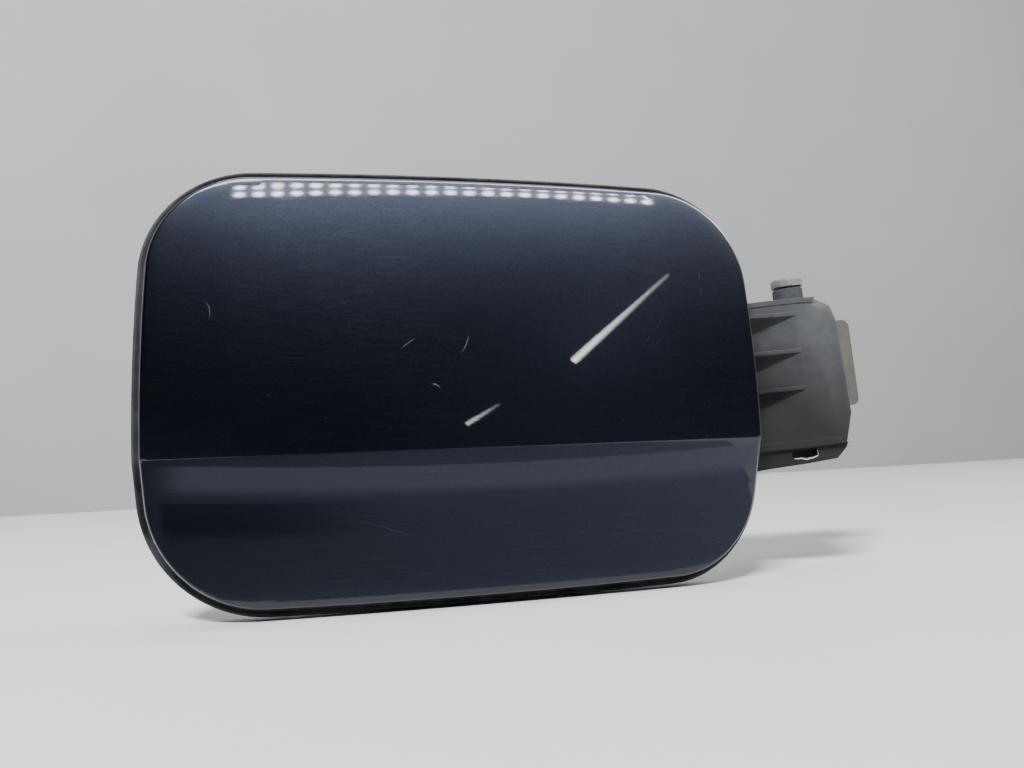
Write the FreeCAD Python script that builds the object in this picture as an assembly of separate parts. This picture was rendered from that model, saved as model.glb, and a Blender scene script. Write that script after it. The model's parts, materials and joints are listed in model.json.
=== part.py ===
"""Car fuel filler flap: a creased skin on a ribbed inner panel, carried by a moulded arm on a pin hinge."""
import FreeCAD, Part
import math
import os

V = FreeCAD.Vector
os.makedirs("parts", exist_ok=True)

# Frame: +X to the right seen from outside, +Y into the car, +Z up, in millimetres.
# The origin is between the two bolt holes, on the back face of the hinge bracket.

# Flap outline
flap_width = 198.0
flap_height = 134.8
corner_radii = (35.0, 29.0, 33.0, 31.0)    # lower left, lower right, upper right, upper left
long_crown = 1.4           # how far the middle of the upper and lower edges stands out past their ends
short_crown = 2.6          # the same for the left and right edges

# Flap surface
crease_height = 46.6       # crease above the lower edge
upper_lean = 1.7           # degrees off upright just above the crease
upper_radius = 690.0       # the face above the crease bulges
lower_slope = 18.0         # degrees off upright just below the crease
lower_radius = 214.0       # the face below the crease is hollow
crease_radius = 2.5
bow_radius = 1475.0        # bow of the whole face from side to side
layer_spare = 8.0          # layers are made this much larger than the outline, then trimmed

# Skin
skin_wall = 0.9
hem_depth = 5.5            # turned edge, from front to back
hem_round = 1.3

# Inner panel
glue_gap = 0.3
panel_wall = 2.0
panel_depth = 10.4         # rim, from the skin's front
rim_wall = 2.0
flange_wall = 1.5
flange_inset = 0.2
rib_depth = 6.4
rib_wall = 1.6
rib_columns = 5
rib_rows = 3

# Edge seal
seal_lip = 3.4             # stands out past the skin
seal_gap = 0.3

# Hinge place
axis_gap = 30.4            # flap's right edge to pin axis
axis_setback = 27.0        # crease front to pin axis
hinge_rise = 27.4          # crease to the bracket's middle
axis_lean = 4.3            # degrees, top of the pin towards the flap

# Bracket
plate_wall = 2.5
plate_height = 36.0
plate_left = 26.0          # from the pin axis
plate_right = 40.0
plate_corner = 3.0
plate_setback = 20.0       # pin axis to the plate's front
bolt_offset = 16.0         # pin axis to the line of bolts
bolt_spacing = 18.0
bolt_hole_radius = 2.75
ear_wall = 2.5
ear_radius = 5.5
ear_left = 9.0
ear_right = 4.5
ear_shoulder = 8.0

# Opening stop
tab_width = 10.0
tab_reach = 10.0
pad_wall = 1.4
pad_rim = 1.0

# Pin and its small parts
pin_radius = 3.0
head_radius = 5.7
head_height = 3.3
head_round = 1.0
head_washer_wall = 0.6
head_washer_radius = 4.9
running_gap = 0.05
end_gap = 0.1
bush_wall = 1.2
thrust_washer_wall = 0.8
thrust_washer_radius = 5.4
clip_wall = 0.8
clip_radius = 5.2
clip_groove = 0.8
clip_mouth = 3.6
pin_tail = 1.4

# Spring
sleeve_wall = 1.35
wire_radius = 0.7
spring_turns = 3.25
spring_pitch = 2.0
spring_clear = 0.3
spring_arm = 11.0

# Arm
arm_wall = 2.6
arm_front = 9.0            # pin axis to the arm's front face
arm_right = 14.2           # pin axis to the free edge
arm_top = 24.4             # above the bracket's middle
arm_lip_line = 30.4        # below the bracket's middle
arm_bottom = 36.6
arm_roof_wall = 1.8
arm_roof_back = 7.5        # pin axis to the back of roof, floor and bearing web
roof_proud = 0.4           # roof edge in front of the arm's face
ledge_proud = 0.3          # ledge along the lip, in front of the arm's face
web_wall = 3.4
lip_step = 1.1
boss_radius = 5.5
boss_height = 4.7
trough_start = 5.0         # left of the pin axis
trough_floor_start = 20.0
trough_floor_end = 32.0
trough_depth = 4.2
flange_start = 39.0
flange_end = 80.0
flange_front = 11.0        # pin axis to the flange's front
flange_half_height = 18.0
gusset_wall = 1.3
gusset_end = 4.0           # left of the pin axis
gusset_proud = 0.5
gusset_heights = (18.6, 4.75, -9.1)
corner_run = 9.2           # upper corner, cut back along the roof
corner_fall = 9.4          # and down the free edge
corner_knee = (1.8, 3.6)   # its knee, in from the free edge and down from the roof
taper_start = 20.5         # the free edge turns in below this depth
taper_in = 2.4
lip_end = (7.6, 3.3)       # lower corner of the lip, in from the free edge
lip_fall = 3.6
bevel_deep = 2.2
bevel_corner = 4.2
bevel_side = 1.1
bevel_foot = 4.0
lip_edge = 0.8
lip_rake = 1.8             # the lip's lower edge falls this much towards the flap
lip_pocket = 4.0
pocket_right = 5.0         # right of the pin axis
slot_left = 11.0
slot_right = 1.7
slot_height = 2.9
slot_drop = 0.8

# Screws
screw_radius = 2.0
screw_bite = 5.8           # depth of the screw in the panel
pilot_spare = 1.0          # the hole is this much deeper
screw_hole_gap = 0.25
screw_pilot_gap = 0.02
screw_head_radius = 4.0
screw_head_height = 2.4
screw_crown = 1.4
screw_top_radius = 2.4
screw_cross = 4.0
screw_cross_wall = 1.0
screw_places = ((-72.0, -11.0), (-72.0, 11.0), (-47.0, 0.0))
pad_margin = 2.5

# Latch striker
striker_inset = 21.0       # from the flap's left edge
striker_z = 22.0           # above the crease
striker_base_wall = 3.0
striker_base_width = 18.0
striker_base_height = 44.0
striker_seat = 9.0         # seat behind the skin's front
striker_wide = 8.0
striker_reach = 17.0
striker_window = 10.0
striker_sill = 1.5
striker_margin = 1.0
striker_bar = 4.0
striker_screw_pitch = 33.0

# Bump stops
bump_inset = 18.0          # from the flap's left edge
bump_top_inset = 25.0
bump_low_inset = 25.0
bump_seat = 8.0
bump_boss_radius = 6.5
bump_head_radius = 5.5
bump_head_height = 5.0
bump_bevel = 2.0
bump_stem_radius = 2.4
bump_stem_length = 4.0
bump_stem_gap = 0.05
bump_stem_spare = 0.2

# Places that follow from the sizes above
axis_x = bolt_offset
axis_y = -(plate_setback + plate_wall)
flap_x = axis_x - axis_gap - flap_width / 2
crease_y = axis_y - axis_setback
crease_z = -hinge_rise
flap_low = -crease_height
flap_high = flap_height - crease_height
far = 400.0
overrun = 1.0              # cutters reach past what they cut


def save(name, shape):
    """Write one named piece."""
    shape.exportStep(os.path.join("parts", name + ".step"))


def upper_depth(z):
    """Depth of the face behind the crease, at a height above it."""
    lean = math.radians(upper_lean)
    middle_y = upper_radius * math.cos(lean)
    middle_z = -upper_radius * math.sin(lean)
    return middle_y - math.sqrt(upper_radius ** 2 - (z - middle_z) ** 2)


def lower_depth(z):
    """Depth of the face behind the crease, at a height below it."""
    slope = math.radians(lower_slope)
    middle_y = -lower_radius * math.cos(slope)
    middle_z = -lower_radius * math.sin(slope)
    return middle_y + math.sqrt(lower_radius ** 2 - (z - middle_z) ** 2)


def face_y(x, z):
    """Place of the skin's front, for a point given from the flap's middle and the crease."""
    depth = upper_depth(z) if z >= 0 else lower_depth(z)
    return crease_y + bow_radius - math.sqrt((bow_radius - depth) ** 2 - x ** 2)


def face_layer(front, back):
    """Bowed, creased layer that lies between two depths behind the skin's front."""
    margin = layer_spare + seal_lip

    def point(depth, z):
        y = upper_depth(z) if z >= 0 else lower_depth(z)
        return V(flap_x, crease_y + y + depth, crease_z + z)

    def curve(depth, z):
        return Part.Arc(point(depth, 0), point(depth, z / 2), point(depth, z)).toShape()

    high = flap_high + margin
    low = flap_low - margin
    edges = [curve(front, high), Part.makeLine(point(front, high), point(back, high)), curve(back, high),
             curve(back, low), Part.makeLine(point(back, low), point(front, low)), curve(front, low)]
    section = Part.Face(Part.Wire(Part.__sortEdges__(edges)))
    half_turn = math.degrees((flap_width / 2 + margin) / bow_radius) + 1.0
    centre = V(flap_x, crease_y + bow_radius, crease_z)
    section.rotate(centre, V(0, 0, 1), -half_turn)
    layer = section.revolve(centre, V(0, 0, 1), 2 * half_turn)
    creases = [e for e in layer.Edges
               if e.Length > flap_width and abs(e.CenterOfMass.z - crease_z) < 0.01]
    return layer.makeFillet(crease_radius, creases)


def outline_block(inset):
    """Block of the flap's outline, moved in from the skin's edge."""
    w = flap_width / 2 - inset
    low = crease_z + flap_low + inset
    high = crease_z + flap_high - inset
    mid = (low + high) / 2
    start = crease_y - far / 4
    left, right = flap_x - w + short_crown, flap_x + w - short_crown
    bottom, top = low + long_crown, high - long_crown
    corners = [V(left, start, bottom), V(right, start, bottom), V(right, start, top), V(left, start, top)]
    crowns = [V(flap_x, start, low), V(flap_x + w, start, mid),
              V(flap_x, start, high), V(flap_x - w, start, mid)]
    edges = [Part.Arc(corners[i], crowns[i], corners[(i + 1) % 4]).toShape() for i in range(4)]
    block = Part.Face(Part.Wire(edges)).extrude(V(0, far / 2, 0))
    for corner, radius in zip(corners, corner_radii):
        edge = min(block.Edges, key=lambda e: (e.CenterOfMass - corner - V(0, far / 4, 0)).Length)
        block = block.makeFillet(radius - inset, [edge])
    return block


def outline_ring(outer, inner):
    """Ring between two outlines."""
    return outline_block(outer).cut(outline_block(inner))


def on_hinge(shape):
    """Bring a piece from the hinge's own frame, with the pin along Z, to its place."""
    placed = shape.copy()
    placed.rotate(V(0, 0, 0), V(0, 1, 0), -axis_lean)
    placed.translate(V(axis_x, axis_y, 0))
    return placed


def fused(shapes):
    """One clean solid from several."""
    return shapes[0].multiFuse(shapes[1:]).removeSplitter()


def bar(low, high):
    """Box between two corners."""
    return Part.makeBox(high[0] - low[0], high[1] - low[1], high[2] - low[2], V(*low))


def post(radius, low, height, axis=V(0, 0, 1)):
    """Round post from a point along an axis."""
    return Part.makeCylinder(radius, height, V(*low), axis)


def tube(outer, inner, low, height):
    """Hollow post along the pin."""
    return post(outer, (0, 0, low), height).cut(post(inner, (0, 0, low - overrun), height + 2 * overrun))


def slab(points, low, high):
    """Upright slab over a flat outline of (x, y) points."""
    wire = Part.makePolygon([V(x, y, low) for x, y in points + points[:1]])
    return Part.Face(wire).extrude(V(0, 0, high - low))


def sideways(a, b):
    """Unit vector to the right of the way from a to b."""
    length = math.hypot(b[0] - a[0], b[1] - a[1])
    return (b[1] - a[1]) / length, -(b[0] - a[0]) / length


def offset_path(points, wall):
    """The same path moved to its right by a wall, with mitred corners."""
    sides = [sideways(a, b) for a, b in zip(points, points[1:])]
    moved = []
    for (x, y), before, after in zip(points, sides[:1] + sides, sides + sides[-1:]):
        share = wall / (1 + before[0] * after[0] + before[1] * after[1])
        moved.append((x + share * (before[0] + after[0]), y + share * (before[1] + after[1])))
    return moved


# Skin: pressed sheet with a turned edge
skin_block = outline_block(0)
skin_sheet = face_layer(0, skin_wall).common(skin_block)
hem = face_layer(0, hem_depth).common(outline_ring(0, skin_wall))
outer_skin = fused([skin_sheet, hem])
skin_side = skin_block.Shells[0]


def on_front_rim(edge):
    """True for the edges where the skin's face meets its turned edge."""
    p = edge.valueAt((edge.FirstParameter + edge.LastParameter) / 2)
    on_face = abs(p.y - face_y(p.x - flap_x, p.z - crease_z)) < 0.1
    return on_face and Part.Vertex(p).distToShape(skin_side)[0] < 0.01


outer_skin = outer_skin.makeFillet(hem_round, [e for e in outer_skin.Edges if on_front_rim(e)])
save("outer_skin", outer_skin)

# Edge seal: rubber lip that hides the gap round the flap
seal_front = hem_depth + seal_gap
seal_back = panel_depth - flange_wall - seal_gap
panel_inset = skin_wall + glue_gap
edge_seal = face_layer(seal_front, seal_back).common(outline_ring(-seal_lip, panel_inset - seal_gap))
save("edge_seal", edge_seal)

# Inner panel: ribbed plastic moulding with a rim, a pad for the arm and bosses
panel_front = skin_wall + glue_gap
panel_back = panel_front + panel_wall
panel_block = outline_block(panel_inset)
panel_pieces = [face_layer(panel_front, panel_back).common(panel_block)]
rim_inner = panel_inset + rim_wall
panel_pieces.append(face_layer(panel_front, panel_depth).common(outline_ring(panel_inset, rim_inner)))
panel_flange = face_layer(panel_depth - flange_wall, panel_depth)
panel_pieces.append(panel_flange.common(outline_ring(flange_inset, rim_inner)))
rib_layer = face_layer(panel_front, rib_depth).common(panel_block)
for i in range(1, rib_columns):
    x = flap_x - flap_width / 2 + i * flap_width / rib_columns
    panel_pieces.append(rib_layer.common(bar((x - rib_wall / 2, crease_y - far / 4, -far),
                                             (x + rib_wall / 2, far, far))))
for i in range(1, rib_rows):
    z = crease_z + flap_low + i * flap_height / rib_rows
    panel_pieces.append(rib_layer.common(bar((-far, crease_y - far / 4, z - rib_wall / 2),
                                             (far, far, z + rib_wall / 2))))

# The pad under the arm's flange, and every boss, stand on the panel's own sheet
backing = face_layer(panel_front, axis_setback).common(panel_block)
pad = on_hinge(bar((-flange_end - pad_margin, -far / 4, -flange_half_height - pad_margin),
                   (-flange_start + pad_margin, -flange_front, flange_half_height + pad_margin)))
panel_pieces.append(backing.common(pad))
striker_x = striker_inset - flap_width / 2
striker_place = V(flap_x + striker_x, face_y(striker_x, striker_z) + striker_seat, crease_z + striker_z)
striker_half = striker_base_width / 2 + striker_margin
striker_tall = striker_base_height / 2 + striker_margin
striker_pad = bar((striker_place.x - striker_half, crease_y, striker_place.z - striker_tall),
                  (striker_place.x + striker_half, striker_place.y, striker_place.z + striker_tall))
panel_pieces.append(backing.common(striker_pad))
bump_x = bump_inset - flap_width / 2
bump_places = []
for z in (flap_high - bump_top_inset, flap_low + bump_low_inset):
    bump_places.append(V(flap_x + bump_x, face_y(bump_x, z) + bump_seat, crease_z + z))
for p in bump_places:
    panel_pieces.append(backing.common(post(bump_boss_radius, p, bump_seat, V(0, -1, 0))))
inner_panel = fused(panel_pieces)

# Screw holes and stem holes
pilot_radius = screw_radius + screw_pilot_gap
pilot_length = overrun + screw_bite + pilot_spare
for u, w in screw_places:
    pilot = post(pilot_radius, (u, -flange_front + overrun, w), pilot_length, V(0, -1, 0))
    inner_panel = inner_panel.cut(on_hinge(pilot))
striker_screws_at = [striker_place + V(0, 0, s * striker_screw_pitch / 2) for s in (-1, 1)]
for p in striker_screws_at:
    inner_panel = inner_panel.cut(post(pilot_radius, p + V(0, overrun, 0), pilot_length, V(0, -1, 0)))
for p in bump_places:
    inner_panel = inner_panel.cut(post(bump_stem_radius, p, bump_stem_length, V(0, -1, 0)))
save("inner_panel", inner_panel)

# Hinge arm: moulded shell on the pin, a trough with gussets, and a flange screwed to the panel
trough_y = -arm_front + trough_depth
arm_path = [(arm_right, -arm_front), (-trough_start, -arm_front), (-trough_floor_start, trough_y),
            (-trough_floor_end, trough_y), (-flange_start, -flange_front), (-flange_end, -flange_front)]
arm_back = offset_path(arm_path, arm_wall)
arm_low = -arm_bottom - lip_rake
arm_pieces = [slab(arm_path + arm_back[::-1], arm_low, arm_top)]
wall_back = -arm_front + arm_wall


def shelf(proud, low, high):
    """Level wall of the arm's shell, from its front back to behind the pin."""
    front = [(x, y - proud) for x, y in arm_path[:4]]
    return slab(front + [(-trough_floor_end, trough_y + arm_wall), (-arm_roof_back, arm_roof_back),
                         (arm_roof_back, arm_roof_back), (arm_roof_back, 0), (arm_right, wall_back)],
                low, high)


arm_pieces.append(shelf(roof_proud, arm_top - arm_roof_wall, arm_top))
arm_pieces.append(shelf(ledge_proud, -arm_lip_line - lip_edge, -arm_lip_line + arm_roof_wall))
inside = arm_wall / 2
gusset_edge = [(-gusset_end, -arm_front - gusset_proud), (-trough_floor_end, -arm_front - gusset_proud),
               (-trough_floor_end, trough_y + inside), (-trough_floor_start, trough_y + inside),
               (-trough_start, -arm_front + inside), (-gusset_end, -arm_front + inside)]
for w in gusset_heights:
    arm_pieces.append(slab(gusset_edge, w - gusset_wall / 2, w + gusset_wall / 2))
pocket_back = wall_back + lip_pocket + arm_roof_wall
pocket_corner = (pocket_right, pocket_back, -arm_lip_line)
arm_pieces.append(bar((-trough_floor_start, wall_back + lip_pocket, -arm_bottom), pocket_corner))
arm_pieces.append(bar((pocket_right - arm_roof_wall, wall_back, -arm_bottom), pocket_corner))

# Bearings: a boss through the roof, and a web under the lower ear
ear_top = plate_height / 2
upper_seat = ear_top + thrust_washer_wall + 2 * end_gap
lower_seat = -upper_seat
arm_pieces.append(post(boss_radius, (0, 0, upper_seat), arm_top - upper_seat))
arm_pieces.append(shelf(0, lower_seat - web_wall, lower_seat))

# Front outline of the arm: cut upper corner, tapered lower corner, narrower flange
roof_corner = V(arm_right - corner_run, 0, arm_top)
knee = V(arm_right - corner_knee[0], 0, arm_top - corner_knee[1])
side_top = V(arm_right, 0, arm_top - corner_fall)
side_low = V(arm_right, 0, -taper_start)
foot = V(arm_right - taper_in, 0, -arm_lip_line - lip_edge)
outline = [V(-flange_end, 0, -flange_half_height), V(-flange_start, 0, -flange_half_height),
           V(-trough_floor_end, 0, arm_low), V(arm_right - lip_end[0], 0, -arm_bottom),
           V(arm_right - lip_end[1], 0, -arm_bottom + lip_fall), foot, side_low, side_top, knee, roof_corner,
           V(-trough_floor_end, 0, arm_top), V(-flange_start, 0, flange_half_height),
           V(-flange_end, 0, flange_half_height)]
outline_face = Part.Face(Part.makePolygon(outline + outline[:1]))
outline_face.translate(V(0, -far / 4, 0))
boss = post(boss_radius, (0, 0, upper_seat), arm_top + boss_height - upper_seat)
hinge_arm = fused([fused(arm_pieces).common(outline_face.extrude(V(0, far / 2, 0))), boss])


def bevel(start, start_wide, end, end_wide):
    """Cutter that bevels the arm's front edge between two corners of its outline."""
    out_x, out_z = sideways((end.x, end.z), (start.x, start.z))
    ends = []
    for p, wide in ((start, start_wide), (end, end_wide)):
        face = -arm_front - roof_proud
        deep = bevel_deep * wide / bevel_corner
        corners = [V(p.x - out_x * wide, face, p.z - out_z * wide), V(p.x, face + deep, p.z),
                   V(p.x + out_x * overrun, face - overrun, p.z + out_z * overrun)]
        ends.append(Part.makePolygon(corners + corners[:1]))
    return Part.makeLoft(ends, True, True)


bevelled = [(roof_corner, bevel_corner), (knee, bevel_corner), (side_top, bevel_corner),
            (side_low, bevel_side), (foot, bevel_foot)]
for start, end in zip(bevelled, bevelled[1:]):
    hinge_arm = hinge_arm.cut(bevel(*start, *end))

# The lip below the floor steps back and has a window
lip_top = -arm_lip_line - lip_edge
lip_right = arm_right + overrun
lip_cut = [(lip_right, -far), (lip_right, -arm_front + lip_step)]
lip_cut += [(x, y + lip_step) for x, y in arm_path[1:4]]
hinge_arm = hinge_arm.cut(slab(lip_cut + [(-trough_floor_end, -far)], -far, lip_top))
slot_top = lip_top - slot_drop
hinge_arm = hinge_arm.cut(bar((-slot_left, -far, slot_top - slot_height),
                              (-slot_right, wall_back + lip_pocket, slot_top)))

# Bores for the bushes and holes for the screws
bush_radius = pin_radius + running_gap + bush_wall
hinge_arm = hinge_arm.cut(post(bush_radius, (0, 0, lower_seat - web_wall - overrun), far / 2))
for u, w in screw_places:
    hinge_arm = hinge_arm.cut(post(screw_radius + screw_hole_gap, (u, 0, w), far / 8, V(0, -1, 0)))
hinge_arm = on_hinge(hinge_arm)
save("hinge_arm", hinge_arm)

# Bushes pressed in the arm
bush_bore = pin_radius + running_gap
upper_bush = tube(bush_radius, bush_bore, upper_seat, arm_top + boss_height - upper_seat)
save("pivot_bush_upper", on_hinge(upper_bush))
lower_bush = tube(bush_radius, bush_bore, lower_seat - web_wall, web_wall)
save("pivot_bush_lower", on_hinge(lower_bush))


# Screws that hold the arm to the panel
def screw(grip):
    """Pan head screw along Y through a wall, head towards +Y, its seat at the origin."""
    rim = screw_head_height - screw_crown
    head = post(screw_head_radius, (0, 0, 0), rim, V(0, 1, 0))
    dome = Part.makeCone(screw_head_radius, screw_top_radius, screw_crown, V(0, rim, 0), V(0, 1, 0))
    shank = post(screw_radius, (0, 0, 0), grip + screw_bite, V(0, -1, 0))
    body = fused([head, dome, shank])
    for x, z in ((screw_cross, screw_cross_wall), (screw_cross_wall, screw_cross)):
        body = body.cut(bar((-x / 2, rim, -z / 2), (x / 2, far, z / 2)))
    return body


arm_screws = []
for u, w in screw_places:
    one = screw(arm_wall)
    one.translate(V(u, -flange_front + arm_wall, w))
    arm_screws.append(on_hinge(one))
save("arm_screws", Part.makeCompound(arm_screws))

# Latch striker: loop that the lock's bolt passes through
base = bar((-striker_base_width / 2, 0, -striker_base_height / 2),
           (striker_base_width / 2, striker_base_wall, striker_base_height / 2))
loop_high = striker_window / 2 + striker_bar
loop = bar((-striker_wide / 2, 0, -loop_high), (striker_wide / 2, striker_reach, loop_high))
loop = loop.makeFillet(striker_bar, [e for e in loop.Edges if abs(e.CenterOfMass.y - striker_reach) < 0.01
                                     and abs(e.CenterOfMass.x) < 0.01])
window = bar((-striker_wide, striker_base_wall + striker_sill, -striker_window / 2),
             (striker_wide, striker_reach - striker_bar, striker_window / 2))
latch_striker = base.fuse(loop.cut(window)).removeSplitter()
for s in (-1, 1):
    latch_striker = latch_striker.cut(post(screw_radius + screw_hole_gap,
                                           (0, -overrun, s * striker_screw_pitch / 2),
                                           striker_base_wall + 2 * overrun, V(0, 1, 0)))
latch_striker.translate(striker_place)
save("latch_striker", latch_striker)

striker_screws = []
for p in striker_screws_at:
    one = screw(striker_base_wall)
    one.translate(p + V(0, striker_base_wall, 0))
    striker_screws.append(one)
save("striker_screws", Part.makeCompound(striker_screws))

# Bump stops: rubber buttons plugged in the panel
for name, p in zip(("bump_stop_upper", "bump_stop_lower"), bump_places):
    button = post(bump_head_radius, p, bump_head_height, V(0, 1, 0))
    top = [e for e in button.Edges if abs(e.CenterOfMass.y - p.y - bump_head_height) < 0.01]
    button = button.makeChamfer(bump_bevel, top)
    stem = post(bump_stem_radius - bump_stem_gap, p, bump_stem_length - bump_stem_spare, V(0, -1, 0))
    save(name, button.fuse(stem))

# Bracket: folded steel plate with two ears and a stop tab
plate_half = plate_height / 2
plate = bar((-plate_left, plate_setback, -plate_half), (plate_right, plate_setback + plate_wall, plate_half))
plate = plate.makeFillet(plate_corner, [e for e in plate.Edges if abs(e.Length - plate_wall) < 0.01])


def ear(low):
    """Ear folded forward from the plate to the pin."""
    reach = plate_setback + plate_wall / 2
    lobe = post(ear_radius, (0, 0, low), ear_wall)
    web = slab([(-ear_left, reach), (-ear_radius, 0), (ear_radius, 0), (ear_right, ear_shoulder),
                (ear_right, reach)], low, low + ear_wall)
    return lobe.fuse(web)


stop_tab = bar((ear_right - ear_wall, plate_setback - tab_reach, -tab_width / 2),
               (ear_right, plate_setback + plate_wall / 2, tab_width / 2))
bracket = fused([plate, ear(plate_half - ear_wall), ear(-plate_half), stop_tab])
bracket = bracket.cut(post(pin_radius, (0, 0, -far / 4), far / 2))
bracket = on_hinge(bracket)
for s in (-1, 1):
    bracket = bracket.cut(post(bolt_hole_radius, (0, -far / 4, s * bolt_spacing / 2), far / 2, V(0, 1, 0)))
save("hinge_bracket", bracket)

stop_pad = bar((ear_right, plate_setback - tab_reach + pad_rim, -tab_width / 2 + pad_rim),
               (ear_right + pad_wall, plate_setback - pad_rim, tab_width / 2 - pad_rim))
save("stop_pad", on_hinge(stop_pad))

# Pin with its head above the arm, washers and clip
boss_top = arm_top + boss_height
head_low = boss_top + 2 * end_gap + head_washer_wall
clip_top = lower_seat - web_wall - end_gap
pin_low = clip_top - clip_wall - pin_tail
head = post(head_radius, (0, 0, head_low), head_height)
head_top = head_low + head_height
head = head.makeFillet(head_round, [e for e in head.Edges if abs(e.CenterOfMass.z - head_top) < 0.01])
hinge_pin = head.fuse(post(pin_radius, (0, 0, pin_low), head_low - pin_low)).removeSplitter()
groove_radius = pin_radius - clip_groove
hinge_pin = hinge_pin.cut(tube(pin_radius + overrun, groove_radius, clip_top - clip_wall, clip_wall))
save("hinge_pin", on_hinge(hinge_pin))
save("head_washer", on_hinge(tube(head_washer_radius, pin_radius, boss_top + end_gap, head_washer_wall)))
washers = [tube(thrust_washer_radius, pin_radius + running_gap, ear_top + end_gap, thrust_washer_wall),
           tube(thrust_washer_radius, pin_radius + running_gap, -ear_top - end_gap - thrust_washer_wall,
                thrust_washer_wall)]
save("thrust_washers", Part.makeCompound([on_hinge(w) for w in washers]))
clip = tube(clip_radius, groove_radius, clip_top - clip_wall, clip_wall)
clip = clip.cut(bar((-clip_mouth / 2, 0, clip_top - far), (clip_mouth / 2, far, clip_top + overrun)))
save("pin_clip", on_hinge(clip))

# Spring on a sleeve, one leg against the plate and one against the arm
sleeve_radius = pin_radius + running_gap + sleeve_wall
sleeve_half = plate_half - ear_wall - end_gap
save("spring_sleeve", on_hinge(tube(sleeve_radius, pin_radius + running_gap, -sleeve_half, 2 * sleeve_half)))
coil_radius = sleeve_radius + spring_clear + wire_radius
slope = spring_pitch / (2 * math.pi * coil_radius)
along = math.hypot(1, slope)
coil_high = spring_pitch * spring_turns
first = V(coil_radius, 0, 0)
first_way = V(0, 1, slope) / along
turned = 2 * math.pi * spring_turns
last = V(coil_radius * math.cos(turned), coil_radius * math.sin(turned), coil_high)
last_way = V(-math.sin(turned), math.cos(turned), slope) / along
leg_start = first - first_way * (plate_setback - wire_radius)
leg_end = last + last_way * spring_arm
coil = Part.makeHelix(spring_pitch, coil_high, coil_radius)
line = Part.Wire([Part.makeLine(leg_start, first)] + coil.Edges + [Part.makeLine(last, leg_end)])
halves = [Part.makeCircle(wire_radius, leg_start, first_way, turn, turn + 180) for turn in (0, 180)]
torsion_spring = line.makePipeShell([Part.Wire(halves)], True, True)
torsion_spring.translate(V(0, 0, -coil_high / 2))
torsion_spring.rotate(V(0, 0, 0), V(0, 0, 1), 180)
save("torsion_spring", on_hinge(torsion_spring))
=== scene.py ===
"""Looks of the car fuel filler flap: fine skin and seal, worn paint, dusty hinge with painted shade at its
lower left and painted highlights on its edges, light and camera.
"""
import json
import math
import bmesh
import bpy
from mathutils import Matrix, Vector
from mathutils.geometry import delaunay_2d_cdt


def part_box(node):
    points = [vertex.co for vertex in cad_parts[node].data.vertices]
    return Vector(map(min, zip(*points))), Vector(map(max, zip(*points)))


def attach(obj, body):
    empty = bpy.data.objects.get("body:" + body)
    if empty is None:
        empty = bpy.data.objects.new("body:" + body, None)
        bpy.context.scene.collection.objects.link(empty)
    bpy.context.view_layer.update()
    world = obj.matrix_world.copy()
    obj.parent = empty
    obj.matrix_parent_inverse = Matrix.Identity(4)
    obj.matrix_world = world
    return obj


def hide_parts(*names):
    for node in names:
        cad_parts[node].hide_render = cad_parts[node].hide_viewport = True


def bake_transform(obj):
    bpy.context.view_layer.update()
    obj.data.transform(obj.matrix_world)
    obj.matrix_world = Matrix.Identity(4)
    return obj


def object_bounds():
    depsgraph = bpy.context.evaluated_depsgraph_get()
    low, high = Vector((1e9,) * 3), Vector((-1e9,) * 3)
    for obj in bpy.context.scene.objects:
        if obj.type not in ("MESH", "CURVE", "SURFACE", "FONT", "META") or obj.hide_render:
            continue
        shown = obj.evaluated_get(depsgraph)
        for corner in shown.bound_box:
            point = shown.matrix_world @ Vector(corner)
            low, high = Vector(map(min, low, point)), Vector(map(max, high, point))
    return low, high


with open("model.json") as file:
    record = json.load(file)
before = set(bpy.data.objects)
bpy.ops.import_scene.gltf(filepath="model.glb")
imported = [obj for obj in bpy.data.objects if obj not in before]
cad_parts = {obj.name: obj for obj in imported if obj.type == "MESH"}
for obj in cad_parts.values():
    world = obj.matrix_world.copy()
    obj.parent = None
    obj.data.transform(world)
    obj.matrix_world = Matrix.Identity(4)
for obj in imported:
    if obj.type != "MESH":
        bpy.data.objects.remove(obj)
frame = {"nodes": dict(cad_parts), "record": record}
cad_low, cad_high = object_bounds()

# Sizes of the CAD part that the fine pieces repeat, in metres
MM = 0.001
# Corners in turn: lower right, upper right, upper left, lower left
CORNER_RADII = (29.0 * MM, 33.0 * MM, 31.0 * MM, 35.0 * MM)
LONG_CROWN = 1.4 * MM
SHORT_CROWN = 2.6 * MM
UPPER_LEAN = math.radians(1.7)
UPPER_RADIUS = 690.0 * MM
LOWER_SLOPE = math.radians(18.0)
LOWER_RADIUS = 214.0 * MM
CREASE_BLEND = 0.5 * MM        # half the height over which the crease turns
CREASE_REACH = 5.0 * MM        # beyond this height one face stands alone
BOW_RADIUS = 1475.0 * MM
SKIN_WALL = 0.9 * MM
HEM_DEPTH = 5.5 * MM
HEM_ROUND = 1.3 * MM
SEAL_FRONT = 5.8 * MM
SEAL_BACK = 8.6 * MM
SEAL_LIP = 3.4 * MM
SEAL_INNER = -0.9 * MM
AXIS = Vector((16.0, -22.5, 0.0)) * MM
AXIS_LEAN = math.radians(4.3)
COIL_RADIUS = 5.4 * MM
COIL_PITCH = 2.0 * MM
COIL_TURNS = 3.25
WIRE_RADIUS = 0.7 * MM
PLATE_LEG = 19.3 * MM
ARM_LEG = 11.0 * MM
HEAD_RADIUS = 5.7 * MM
HEAD_LOW = 29.9 * MM

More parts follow.
